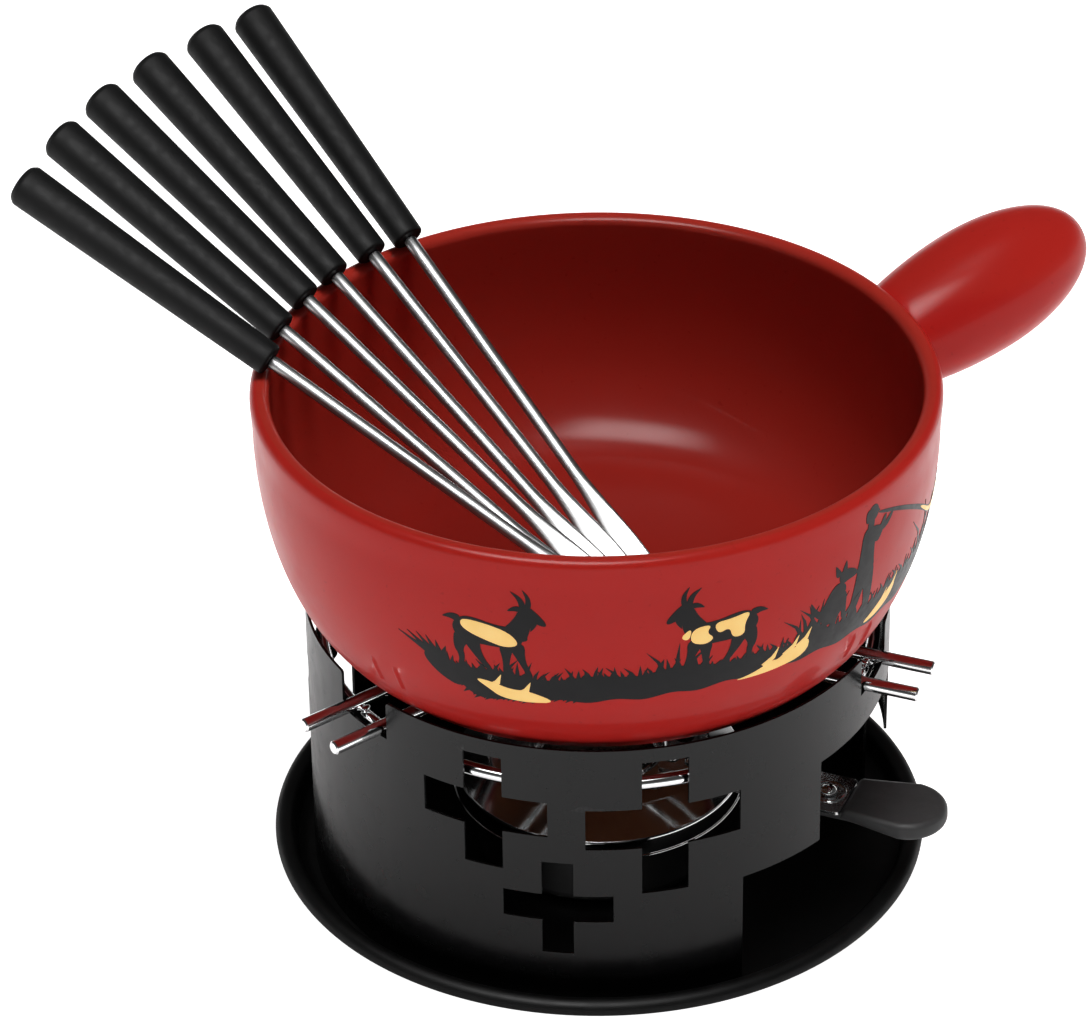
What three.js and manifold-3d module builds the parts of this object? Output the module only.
// A fondue set: glazed pot on a burner stand, with six forks laid across the rim.
// Millimetres, +Z up. Origin: centre of the tray's underside. -Y is the front.

import * as THREE from "three";
import { mergeVertices } from "three/addons/utils/BufferGeometryUtils.js";
import Module from "manifold-3d";

const wasm = await Module();
wasm.setup();

// ---- driving dimensions ----------------------------------------------------

const GAP = 0.3; // air left between pieces that touch
const WELD = 1e-4;

const TRAY = { radius: 118.4, floorRadius: 107.3, sheet: 1, rollRadius: 3, rollHeight: 8.6 };

const STAND = { radius: 104, wall: 1, height: 107.6 };
const ARM_AZIMUTHS = [-141.5, -21.5, 98.5]; // degrees, the three support arms
const NOTCH = { halfWidth: 12.7, depth: 15, corner: 1.2 };
const SERVICE_AZIMUTH = ARM_AZIMUTHS[1]; // the burner and its grip face this way
const SERVICE_DOOR = { lowHalf: 66.5, lowTop: 47.1, highHalf: 36.5, highTop: 80.2 };

// Plus-shaped windows: azimuth in degrees, centre height, half length and half
// width of the arms. Three at the front, two at the left, three at the back.
const WINDOWS = [
  { azimuth: -112.5, height: 79.6, half: 22.9, arm: 7.1 },
  { azimuth: -98, height: 42.7, half: 19.2, arm: 5.5 },
  { azimuth: -77.4, height: 76.1, half: 27.3, arm: 8.2 },
  { azimuth: 175, height: 79.2, half: 23, arm: 7.1 },
  { azimuth: 155, height: 47.8, half: 20.5, arm: 6.2 },
  { azimuth: 128, height: 76.1, half: 22.9, arm: 7.1 },
  { azimuth: 68, height: 76.1, half: 24, arm: 7.6 },
  { azimuth: 49, height: 42.7, half: 19.2, arm: 5.5 },
];

const ROD = { radius: 2.5, spacing: 17.5, height: 96.7, reach: 123, bendCentre: 32, chamfer: 0.5 };
const RING_RADIUS = 98.3;

const POT = {
  base: ROD.height + ROD.radius + GAP,
  bellyHeight: 180.4,
  outer: { centre: 81.1, reach: 38.3, power: 2 },
  inner: { centre: 75.4, reach: 37.7, power: 2.4, floor: 107.1 },
  lip: { radius: 3.4, centre: 116.5, height: 191.4 },
};
const POT_HANDLE = {
  azimuth: 30,
  rise: 16.8,
  axisHeight: 134.6, // where its axis would meet the pot's axis
  root: 116, // distances along its axis from there
  neck: 128,
  bulb: 166,
  tip: 211.3,
  bulbRadius: 23.4,
  taper: 0.0032, // how fast it narrows toward the neck
  flare: 1.5,
};
const RIB = { height: 128, length: 10.5, radius: 1.1, pairs: [-130.2, -36.3, 49.8, 143.7], spread: 2.5 };

const BURNER = {
  sheet: 0.8,
  floor: TRAY.sheet + GAP,
  footRadius: 43,
  cupRadius: 45.8,
  shoulder: 22,
  topRadius: 51,
  top: 31,
};
const PAD = { radius: 43, height: 12 };
const GAUZE = { radius: 43.6, sheet: 0.8, rim: 2 };
const INSERT = { radius: 51.3, collar: 20, flat: 37, collarBottom: 24 };
const LID = { radius: 52.7, skirtBottom: 25.4, edge: 33.3, flat: 39.4, flatRadius: 40, hole: 23 };
const AIR_HOLES = { count: 6, circle: 31.5, radius: 3.6 };
const BRACKET = { inner: 25, outer: 95.7, width: 22, neckWidth: 15, sheet: 1.2, corner: 2 };
const RIVETS = [28.5, 36];
const SCREW = { at: 88, head: 3.2, dome: 2.2, shank: 1.6, boss: 6, bossWire: 0.7 };
const NUT = { radius: 3.8, height: 2.8 };
const GRIP = {
  inner: 96.1,
  innerHalf: 11.8,
  widestAt: 117.5,
  half: 14.5,
  thick: 7,
  thin: 4.6,
  middle: 40.7,
  bevel: 2.2,
  tongueInner: 78,
  tongueHalf: 8.5,
  tongue: 3,
};

const FORK = {
  rimRadius: POT.lip.centre,
  rimHeight: 201.8, // axis height where it crosses the lip
  handleInside: 4.8, // the handle ends this far inside the lip
  handleLength: 108,
  handleInner: 5.85,
  handleOuter: 7.85,
  shank: 2.35,
  length: 176, // bare steel, handle to tips
  spread: 106, // the round shank starts to flatten here
  flare: 44, // and takes this long to reach the full width of the blade
  bladeHalf: 5,
  bladeThick: 1.4,
  tine: 24,
  slot: 1.7,
  roll: 37, // how far each one lies turned about its own axis
};

// The forks lie fanned out along the rim, as they were put down: where each one
// crosses the rim, the way it points and how steeply it dips, in degrees.
const FORKS_LAID = [
  { rim: 177.4, heading: -25.5, dip: 26.6 },
  { rim: 166.2, heading: -33.2, dip: 27.3 },
  { rim: 154.9, heading: -37.6, dip: 28 },
  { rim: 145.2, heading: -42.8, dip: 28.8 },
  { rim: 135.2, heading: -47.5, dip: 29.5 },
  { rim: 126.8, heading: -50.7, dip: 30.2 },
];

// ---- materials -------------------------------------------------------------

function finish(color, roughness, metalness) {
  return new THREE.MeshStandardMaterial({ color, roughness, metalness });
}

const blackCoat = finish(0x17181a, 0.42, 0.1);
const chrome = finish(0xd8d8d8, 0.08, 1);
const redGlaze = finish(0xa31a1c, 0.22, 0);
const steel = finish(0xc8c8c6, 0.28, 1);
const blackPlastic = finish(0x141414, 0.6, 0);
const whiteFibre = finish(0xd9d5c8, 0.95, 0);

// ---- small tools -----------------------------------------------------------

const radians = THREE.MathUtils.degToRad;
const point = (x, y) => new THREE.Vector2(x, y);

// The geometry with its shared corners joined and its faces turned outward.
function closed(geometry) {
  const bare = geometry.clone();
  bare.deleteAttribute("normal");
  bare.deleteAttribute("uv");
  const merged = mergeVertices(bare, WELD);
  const corners = merged.getAttribute("position");
  const index = merged.getIndex().array;
  const kept = [];
  const [a, b, c] = [new THREE.Vector3(), new THREE.Vector3(), new THREE.Vector3()];
  let volume = 0;
  for (let k = 0; k < index.length; k += 3) {
    const [i, j, l] = [index[k], index[k + 1], index[k + 2]];
    if (i === j || j === l || l === i) continue;
    a.fromBufferAttribute(corners, i);
    b.fromBufferAttribute(corners, j);
    c.fromBufferAttribute(corners, l);
    volume += a.dot(b.cross(c));
    kept.push(i, j, l);
  }
  if (volume < 0) kept.reverse();
  merged.setIndex(kept);
  return merged;
}

function toSolid(geometry) {
  const shape = closed(geometry);
  return new wasm.Manifold(
    new wasm.Mesh({
      numProp: 3,
      vertProperties: new Float32Array(shape.getAttribute("position").array),
      triVerts: new Uint32Array(shape.getIndex().array),
    }),
  );
}

function fromSolid(solid) {
  const mesh = solid.getMesh();
  const geometry = new THREE.BufferGeometry();
  geometry.setAttribute("position", new THREE.BufferAttribute(mesh.vertProperties, 3));
  geometry.setIndex(new THREE.BufferAttribute(mesh.triVerts, 1));
  return geometry;
}

// Points (radius, height) turned about +Z.
function turned(profile, segments) {
  return closed(new THREE.LatheGeometry(profile, segments).rotateX(Math.PI / 2));
}

function arc(centreX, centreY, radius, fromDegrees, toDegrees, steps) {
  const points = [];
  for (let k = 0; k <= steps; k++) {
    const angle = radians(fromDegrees + ((toDegrees - fromDegrees) * k) / steps);
    points.push(point(centreX + radius * Math.cos(angle), centreY + radius * Math.sin(angle)));
  }
  return points;
}

// A sheet-metal profile: the centre line given half a thickness to each side.
function sheetProfile(line, thickness) {
  const sides = [[], []];
  line.forEach((here, k) => {
    const before = line[Math.max(k - 1, 0)];
    const after = line[Math.min(k + 1, line.length - 1)];
    const along = after.clone().sub(before).normalize();
    const across = point(-along.y, along.x).multiplyScalar(thickness / 2);
    sides[0].push(here.clone().sub(across));
    sides[1].push(here.clone().add(across));
  });
  const outline = [...sides[0], ...sides[1].reverse()];
  if (line[0].x > 0) outline.push(outline[0].clone());
  return outline;
}

function rod(radius, length, sides) {
  return new THREE.CylinderGeometry(radius, radius, length, sides).rotateX(Math.PI / 2);
}

function outlineShape(points) {
  return new THREE.Shape(points);
}

function plate(shape, thickness, extra = {}) {
  return new THREE.ExtrudeGeometry(shape, { depth: thickness, bevelEnabled: false, ...extra });
}

function mesh(name, geometry, material) {
  const made = new THREE.Mesh(geometry, material);
  made.name = name;
  return made;
}

// ---- tray and stand --------------------------------------------------------

// A shallow round tray whose edge rolls over into a rounded rim.
function trayGeometry() {
  const { radius, floorRadius, sheet, rollRadius, rollHeight } = TRAY;
  const rollCentre = radius - sheet / 2 - rollRadius;
  const line = [
    point(0, sheet / 2),
    point(floorRadius, sheet / 2),
    point(rollCentre - rollRadius - 1, sheet / 2 + 2.4),
    ...arc(rollCentre, rollHeight, rollRadius, 180, -15, 6),
  ];
  return turned(sheetProfile(line, sheet), 48);
}

// A vertical cutter that passes through one side of the stand's wall.
function wallCutter(shape, azimuth) {
  const depth = 40;
  const geometry = plate(shape, depth);
  geometry.rotateX(Math.PI / 2);
  geometry.translate(0, depth / 2 - STAND.radius + 8, 0);
  geometry.rotateZ(radians(azimuth + 90));
  return toSolid(geometry);
}

function plusShape({ half, arm, height }) {
  const corners = [];
  for (let quarter = 0; quarter < 4; quarter++) {
    for (const [x, y] of [[half, -arm], [half, arm], [arm, arm]]) {
      corners.push(point(x, y).rotateAround(point(0, 0), radians(90 * quarter)));
    }
  }
  return outlineShape(corners.map((corner) => corner.add(point(0, height))));
}

function notchShape() {
  const { halfWidth, depth, corner } = NOTCH;
  const top = TRAY.sheet + GAP + STAND.height;
  const outside = halfWidth + corner;
  return outlineShape([
    point(-halfWidth, top - depth),
    point(halfWidth, top - depth),
    ...arc(outside, top - corner, corner, 180, 90, 3),
    point(outside, top + 5),
    point(-outside, top + 5),
    ...arc(-outside, top - corner, corner, 90, 0, 3),
  ]);
}

function serviceDoorShape() {
  const { lowHalf, lowTop, highHalf, highTop } = SERVICE_DOOR;
  return outlineShape([
    point(-lowHalf, -5),
    point(lowHalf, -5),
    point(lowHalf, lowTop),
    point(highHalf, lowTop),
    point(highHalf, highTop),
    point(-highHalf, highTop),
    point(-highHalf, lowTop),
    point(-lowHalf, lowTop),
  ]);
}

// A sheet cylinder, open at both ends, notched for the arms and cut with windows.
function standGeometry() {
  const { radius, wall, height } = STAND;
  const bottom = TRAY.sheet + GAP;
  const section = [
    point(radius - wall, bottom),
    point(radius, bottom),
    point(radius, bottom + height),
    point(radius - wall, bottom + height),
    point(radius - wall, bottom),
  ];
  let wallSolid = toSolid(turned(section, 72));
  const cutters = [
    ...WINDOWS.map((window) => wallCutter(plusShape(window), window.azimuth)),
    ...ARM_AZIMUTHS.map((azimuth) => wallCutter(notchShape(), azimuth)),
  ];
  for (const cutter of cutters) wallSolid = wallSolid.subtract(cutter);
  return fromSolid(wallSolid.subtract(doorCutter()));
}

// The door is wide, so its cutter starts nearer the middle of the stand.
function doorCutter() {
  const depth = 90;
  const geometry = plate(serviceDoorShape(), depth);
  geometry.rotateX(Math.PI / 2);
  geometry.translate(0, depth - STAND.radius - 10, 0);
  geometry.rotateZ(radians(SERVICE_AZIMUTH + 90));
  return toSolid(geometry);
}

// ---- pot support -----------------------------------------------------------

class Bend extends THREE.Curve {
  constructor(radius) {
    super();
    this.radius = radius;
  }

  getPoint(t, target = new THREE.Vector3()) {
    const angle = Math.PI / 2 + Math.PI * t;
    return target.set(this.radius * Math.cos(angle), this.radius * Math.sin(angle), 0);
  }
}

// One arm: a round rod bent like a hairpin, its two ends sticking outward.
function armGeometry() {
  const { radius, spacing, reach, bendCentre, chamfer } = ROD;
  const length = reach - bendCentre;
  const section = new THREE.Shape(arc(0, 0, radius, 0, 324, 9));
  const bend = new THREE.ExtrudeGeometry(section, {
    steps: 6,
    bevelEnabled: false,
    extrudePath: new Bend(spacing / 2),
  });
  let arm = toSolid(bend.translate(bendCentre, 0, 0));
  for (const side of [-1, 1]) {
    const leg = turned(
      [
        point(0, 0),
        point(radius, 0),
        point(radius, length - chamfer),
        point(radius - chamfer, length),
        point(0, length),
      ],
      10,
    );
    leg.rotateY(Math.PI / 2);
    leg.translate(bendCentre - 0.05, (side * spacing) / 2, 0);
    arm = arm.add(toSolid(leg));
  }
  return fromSolid(arm);
}

function ringGeometry() {
  return closed(new THREE.TorusGeometry(RING_RADIUS, ROD.radius, 8, 48));
}

// ---- pot -------------------------------------------------------------------

// A quarter of a rounded bowl, from the middle of its base to its full width.
function bowlCurve({ centre, reach, power }, base, top, steps) {
  const points = [];
  for (let k = 0; k <= steps; k++) {
    const angle = (Math.PI / 2) * (k / steps);
    const out = Math.sin(angle) ** (2 / power);
    const down = Math.cos(angle) ** (2 / power);
    points.push(point(centre + reach * out, top - (top - base) * down));
  }
  return points;
}

function potHandleGeometry() {
  const { root, neck, bulb, bulbRadius, taper, tip, flare } = POT_HANDLE;
  const narrowing = (along) => bulbRadius - taper * (bulb - along) ** 2;
  const profile = [point(0, root), point(narrowing(root) + 2 * flare, root)];
  profile.push(point(narrowing(neck - 5) + flare, neck - 5));
  const steps = 5;
  for (let k = 0; k < steps; k++) {
    const along = neck + ((bulb - neck) * k) / steps;
    profile.push(point(narrowing(along), along));
  }
  const endSteps = 8;
  for (let k = 0; k <= endSteps; k++) {
    const angle = (Math.PI / 2) * (k / endSteps);
    const radius = k === endSteps ? 0 : bulbRadius * Math.cos(angle) ** 0.92;
    profile.push(point(radius, bulb + (tip - bulb) * Math.sin(angle)));
  }
  const handle = turned(profile, 22);
  handle.rotateY(Math.PI / 2 - radians(POT_HANDLE.rise));
  handle.rotateZ(radians(POT_HANDLE.azimuth));
  return handle.translate(0, 0, POT_HANDLE.axisHeight);
}

// A short raised rib on the lower wall, lying along the bowl's curve.
function ribGeometry(azimuth) {
  const { height, length, radius } = RIB;
  const { outer, bellyHeight, base } = POT;
  const depth = bellyHeight - base;
  const down = (bellyHeight - height) / depth;
  const wallRadius = outer.centre + outer.reach * Math.sqrt(1 - down * down);
  const slope = Math.atan((outer.reach * down) / (depth * Math.sqrt(1 - down * down)));
  const rib = new THREE.CapsuleGeometry(radius, length - 2 * radius, 1, 6);
  rib.rotateX(Math.PI / 2);
  rib.rotateY(slope);
  rib.translate(wallRadius - 0.3, 0, height);
  return rib.rotateZ(radians(azimuth));
}

function potGeometry() {
  const { base, bellyHeight, outer, inner, lip } = POT;
  const outside = bowlCurve(outer, base, bellyHeight, 8);
  const inside = bowlCurve(inner, inner.floor, bellyHeight, 8);
  const bead = arc(lip.centre, lip.height, lip.radius, -50, 200, 6);
  const wall = [point(0, base), ...outside, ...bead, ...inside.slice().reverse(), point(0, inner.floor)];
  const cavity = [
    point(0, inner.floor),
    ...inside,
    point(inner.centre + inner.reach, lip.height + 60),
    point(0, lip.height + 60),
  ];
  const handle = toSolid(potHandleGeometry()).subtract(toSolid(turned(cavity, 54)));
  let pot = toSolid(turned(wall, 54)).add(handle);
  for (const pair of RIB.pairs) {
    for (const side of [-1, 1]) {
      pot = pot.add(toSolid(ribGeometry(pair + side * RIB.spread)));
    }
  }
  return fromSolid(pot);
}

// ---- burner ----------------------------------------------------------------

function burnerCupGeometry() {
  const { sheet, floor, footRadius, cupRadius, shoulder, topRadius, top } = BURNER;
  const half = sheet / 2;
  const line = [
    point(0, floor + half),
    point(footRadius, floor + half),
    point(cupRadius - half, floor + 3),
    point(cupRadius - half, shoulder),
    point(topRadius - half, shoulder + 2.5),
    point(topRadius - half, top),
  ];
  return turned(sheetProfile(line, sheet), 40);
}

const padFloor = BURNER.floor + BURNER.sheet + GAP;

// The absorbent wad that holds the fuel, a little crowned.
function padGeometry() {
  const { radius, height } = PAD;
  return turned(
    [
      point(0, padFloor),
      point(radius - 2, padFloor),
      point(radius, padFloor + 3),
      point(radius, padFloor + height - 3),
      point(radius - 3, padFloor + height - 1),
      point(0, padFloor + height),
    ],
    32,
  );
}

// The wire gauze that holds the wad down, with a turned-up edge.
function gauzeGeometry() {
  const { radius, sheet, rim } = GAUZE;
  const height = padFloor + PAD.height + GAP + sheet / 2;
  const line = [point(0, height), point(radius - 1.5, height), point(radius - 0.4, height + rim)];
  return turned(sheetProfile(line, sheet), 36);
}

function withAirHoles(geometry) {
  let solid = toSolid(geometry);
  for (let k = 0; k < AIR_HOLES.count; k++) {
    const angle = radians(SERVICE_AZIMUTH + (360 / AIR_HOLES.count) * (k + 0.5));
    const drill = rod(AIR_HOLES.radius, 20, 8);
    drill.translate(AIR_HOLES.circle * Math.cos(angle), AIR_HOLES.circle * Math.sin(angle), LID.flat);
    solid = solid.subtract(toSolid(drill));
  }
  return solid;
}

// The fixed inner cover: it rests on the cup and guides the flame up a collar.
function insertGeometry() {
  const { radius, collar, flat, collarBottom } = INSERT;
  const half = BURNER.sheet / 2;
  const rest = BURNER.top + GAP + half;
  const line = [
    point(radius, rest),
    point(49, rest),
    point(LID.flatRadius, flat - half),
    point(collar + 1.2, flat - half),
    point(collar + half, flat - 1.6),
    point(collar + half, collarBottom),
  ];
  return fromSolid(withAirHoles(turned(sheetProfile(line, BURNER.sheet), 32)));
}

// The turning lid: a cone with a short skirt, a flame hole and air holes.
function lidGeometry() {
  const { radius, skirtBottom, edge, flat, flatRadius, hole } = LID;
  const half = BURNER.sheet / 2;
  const line = [
    point(radius - half, skirtBottom),
    point(radius - half, edge - 1),
    point(radius - 1.2, edge),
    point(flatRadius, flat - half),
    point(hole + 1.6, flat - half),
    point(hole + half, flat + 0.8),
  ];
  let lid = withAirHoles(turned(sheetProfile(line, BURNER.sheet), 32));
  for (const at of RIVETS) lid = lid.subtract(serviceDrill(1.9, at));
  return fromSolid(lid);
}

// A vertical drill at a distance along the grip's direction.
function serviceDrill(radius, at) {
  const drill = rod(radius, 40, 12).translate(at, 0, LID.flat);
  return toSolid(drill.rotateZ(radians(SERVICE_AZIMUTH)));
}

// Burner fittings are drawn along +X and then turned to face the service side.
function serviceFacing(geometry) {
  return geometry.rotateZ(radians(SERVICE_AZIMUTH));
}

const bracketBottom = LID.flat + GAP;
const bracketTop = bracketBottom + BRACKET.sheet;

function bracketGeometry() {
  const { inner, outer, width, neckWidth, sheet, corner } = BRACKET;
  const widen = LID.radius + 6;
  const shape = outlineShape([
    point(inner, -neckWidth / 2),
    point(widen - 10, -neckWidth / 2),
    point(widen, -width / 2),
    ...arc(outer - corner, -width / 2 + corner, corner, -90, 0, 3),
    ...arc(outer - corner, width / 2 - corner, corner, 0, 90, 3),
    point(widen, width / 2),
    point(widen - 10, neckWidth / 2),
    point(inner, neckWidth / 2),
  ]);
  let body = toSolid(serviceFacing(plate(shape, sheet).translate(0, 0, bracketBottom)));
  const boss = new THREE.TorusGeometry(SCREW.boss, SCREW.bossWire, 6, 24);
  body = body.add(toSolid(serviceFacing(boss.translate(SCREW.at, 0, bracketTop - 0.1))));
  body = body.subtract(serviceDrill(SCREW.shank + GAP, SCREW.at));
  for (const at of RIVETS) body = body.subtract(serviceDrill(1.9, at));
  return fromSolid(body);
}

function rivetGeometry(at) {
  const head = 2.6;
  const shank = 1.5;
  const seat = bracketTop + GAP;
  const under = LID.flat - BURNER.sheet - GAP;
  const profile = [
    point(0, under - 0.7),
    point(2.2, under - 0.5),
    point(2.2, under),
    point(shank, under),
    point(shank, seat),
    point(head, seat),
    point(head * 0.8, seat + 0.9),
    point(0, seat + 1.3),
  ];
  return serviceFacing(turned(profile, 12).translate(at, 0, 0));
}

const tongueTop = bracketBottom - GAP;
const tongueBottom = tongueTop - GRIP.tongue;

function screwGeometry() {
  const { head, dome, shank, at } = SCREW;
  const seat = bracketTop + GAP;
  const profile = [
    point(0, tongueBottom - GAP - NUT.height - 1),
    point(shank, tongueBottom - GAP - NUT.height - 1),
    point(shank, seat),
    point(head, seat),
    ...arc(0, 0, 1, 20, 80, 3).map((p) => point(p.x * head, seat + p.y * dome)),
    point(0, seat + dome),
  ];
  return serviceFacing(turned(profile, 16).translate(at, 0, 0));
}

function nutGeometry() {
  const { radius, height } = NUT;
  const middle = tongueBottom - GAP - height / 2;
  const hexagon = toSolid(serviceFacing(rod(radius, height, 6).translate(SCREW.at, 0, middle)));
  return fromSolid(hexagon.subtract(serviceDrill(SCREW.shank + GAP, SCREW.at)));
}

// A flat paddle with a round end, thinner toward the burner, and a tongue that
// reaches in under the bracket.
function gripGeometry() {
  const { inner, innerHalf, widestAt, half, thick, thin, middle, bevel } = GRIP;
  const inset = bevel;
  const shape = outlineShape([
    point(inner + inset, -innerHalf + inset),
    ...arc(widestAt, 0, half - inset, -84, 84, 14),
    point(inner + inset, innerHalf - inset),
  ]);
  const slab = plate(shape, thick - 2 * bevel, {
    bevelEnabled: true,
    bevelSize: bevel,
    bevelThickness: bevel,
    bevelSegments: 3,
  });
  slab.translate(0, 0, bevel - thick / 2);
  const corners = slab.getAttribute("position");
  for (let k = 0; k < corners.count; k++) {
    const along = THREE.MathUtils.smoothstep(corners.getX(k), inner, widestAt);
    const scale = THREE.MathUtils.lerp(thin / thick, 1, along);
    corners.setZ(k, middle + corners.getZ(k) * scale);
  }
  const { tongueInner, tongueHalf } = GRIP;
  const reach = inner + 6 - tongueInner;
  const tongue = new THREE.BoxGeometry(reach, 2 * tongueHalf, tongueTop - tongueBottom);
  tongue.translate(tongueInner + reach / 2, 0, (tongueTop + tongueBottom) / 2);
  let grip = toSolid(serviceFacing(slab)).add(toSolid(serviceFacing(tongue)));
  grip = grip.subtract(serviceDrill(SCREW.shank + GAP, SCREW.at));
  return fromSolid(grip);
}

// ---- forks -----------------------------------------------------------------

// Rings of points along +Z, flattened step by step, joined into one skin.
function forkNeckGeometry() {
  const { shank, spread, flare, bladeHalf, bladeThick } = FORK;
  const { lerp, smoothstep } = THREE.MathUtils;
  const sides = 12;
  const stations = [{ z: GAP, half: shank, thick: shank }];
  for (const share of [0, 0.2, 0.4, 0.6, 0.8, 0.95]) {
    const z = spread + share * flare;
    const half = lerp(shank, bladeHalf * 0.97, smoothstep(z, spread, spread + flare));
    const thick = lerp(shank, bladeThick * 0.45, smoothstep(z, spread, spread + flare));
    stations.push({ z, half, thick });
  }
  const corners = [];
  for (const { z, half, thick } of stations) {
    for (let k = 0; k < sides; k++) {
      const angle = (2 * Math.PI * k) / sides;
      corners.push(half * Math.cos(angle), thick * Math.sin(angle), z);
    }
  }
  const faces = [];
  for (let s = 0; s + 1 < stations.length; s++) {
    for (let k = 0; k < sides; k++) {
      const next = (k + 1) % sides;
      const [a, b] = [s * sides + k, s * sides + next];
      faces.push(a, b, b + sides, a, b + sides, a + sides);
    }
  }
  const last = (stations.length - 1) * sides;
  for (let k = 1; k + 1 < sides; k++) {
    faces.push(0, k + 1, k, last, last + k, last + k + 1);
  }
  const geometry = new THREE.BufferGeometry();
  geometry.setAttribute("position", new THREE.Float32BufferAttribute(corners, 3));
  geometry.setIndex(faces);
  return geometry;
}

// The flat head with three pointed tines, the outer two barbed.
function forkHeadGeometry() {
  const { spread, flare, bladeHalf, bladeThick, length, tine, slot } = FORK;
  const start = spread + 0.85 * flare;
  const tineStart = length - tine;
  const width = (2 * bladeHalf - 2 * slot) / 3;
  const middleHalf = width / 2;
  const slotEdge = middleHalf + slot;
  const right = [
    point(bladeHalf * 0.88, start),
    point(bladeHalf, spread + flare),
    point(bladeHalf, length - 9),
    point(bladeHalf + 0.9, length - 7.5),
    point(slotEdge + 0.35, length - 1.5),
    point(slotEdge, length - 3),
    point(slotEdge, tineStart + 1),
    point(middleHalf + slot / 2, tineStart),
    point(middleHalf, tineStart + 1),
    point(middleHalf, length - 5),
  ];
  const left = right.map((corner) => point(-corner.x, corner.y)).reverse();
  const outline = outlineShape([...right, point(0, length), ...left]);
  const head = plate(outline, bladeThick).translate(0, 0, -bladeThick / 2);
  return head.rotateX(Math.PI / 2);
}

function forkShankGeometry() {
  return fromSolid(toSolid(forkNeckGeometry()).add(toSolid(forkHeadGeometry())));
}

// A round handle, thicker at its outer end, with softened edges.
function forkHandleGeometry() {
  const { handleLength, handleInner, handleOuter } = FORK;
  const soft = 1.6;
  return turned(
    [
      point(0, 0),
      point(handleInner - soft, 0),
      point(handleInner - 0.4, -soft * 0.5),
      point(handleInner, -soft * 1.4),
      point(handleOuter, soft * 1.6 - handleLength),
      point(handleOuter - 0.5, soft * 0.6 - handleLength),
      point(handleOuter - soft * 1.2, -handleLength),
      point(0, -handleLength),
    ],
    16,
  );
}

// A fork's frame: +Z runs from the handle to the tips, +Y stands up off the blade.
function forkFrame(laid) {
  const [rim, heading, dip] = [radians(laid.rim), radians(laid.heading), radians(laid.dip)];
  const along = new THREE.Vector3(
    Math.cos(heading) * Math.cos(dip),
    Math.sin(heading) * Math.cos(dip),
    -Math.sin(dip),
  );
  const side = new THREE.Vector3(-Math.sin(heading), Math.cos(heading), 0);
  side.applyAxisAngle(along, radians(FORK.roll));
  const up = new THREE.Vector3().crossVectors(along, side);
  const frame = new THREE.Group();
  frame.position.set(FORK.rimRadius * Math.cos(rim), FORK.rimRadius * Math.sin(rim), FORK.rimHeight);
  frame.position.addScaledVector(along, FORK.handleInside);
  frame.quaternion.setFromRotationMatrix(new THREE.Matrix4().makeBasis(side, up, along));
  return frame;
}

// ---- assembly --------------------------------------------------------------

function standGroup() {
  const group = new THREE.Group();
  group.add(mesh("base_tray", trayGeometry(), blackCoat));
  group.add(mesh("stand_shell", standGeometry(), blackCoat));
  const ring = mesh("support_ring", ringGeometry(), chrome);
  ring.position.z = ROD.height - 2 * ROD.radius - GAP;
  group.add(ring);
  ARM_AZIMUTHS.forEach((azimuth, k) => {
    const arm = mesh(`support_arm_${k + 1}`, armGeometry(), chrome);
    arm.position.z = ROD.height;
    arm.rotation.z = radians(azimuth);
    group.add(arm);
  });
  return group;
}

function burnerGroup() {
  const group = new THREE.Group();
  group.add(mesh("burner_cup", burnerCupGeometry(), chrome));
  group.add(mesh("fuel_pad", padGeometry(), whiteFibre));
  group.add(mesh("fuel_gauze", gauzeGeometry(), steel));
  group.add(mesh("flame_insert", insertGeometry(), chrome));
  group.add(mesh("regulator_lid", lidGeometry(), chrome));
  group.add(mesh("grip_bracket", bracketGeometry(), chrome));
  RIVETS.forEach((at, k) => {
    group.add(mesh(`bracket_rivet_${k + 1}`, rivetGeometry(at), chrome));
  });
  group.add(mesh("grip_screw", screwGeometry(), chrome));
  group.add(mesh("grip_nut", nutGeometry(), steel));
  group.add(mesh("burner_grip", gripGeometry(), blackPlastic));
  return group;
}

function forksGroup() {
  const group = new THREE.Group();
  FORKS_LAID.forEach((laid, k) => {
    const frame = forkFrame(laid);
    frame.add(mesh(`fork_shank_${k + 1}`, forkShankGeometry(), steel));
    frame.add(mesh(`fork_handle_${k + 1}`, forkHandleGeometry(), blackPlastic));
    group.add(frame);
  });
  return group;
}

const fondueSet = new THREE.Group();
fondueSet.add(standGroup(), burnerGroup(), mesh("pot", potGeometry(), redGlaze), forksGroup());

export default fondueSet;
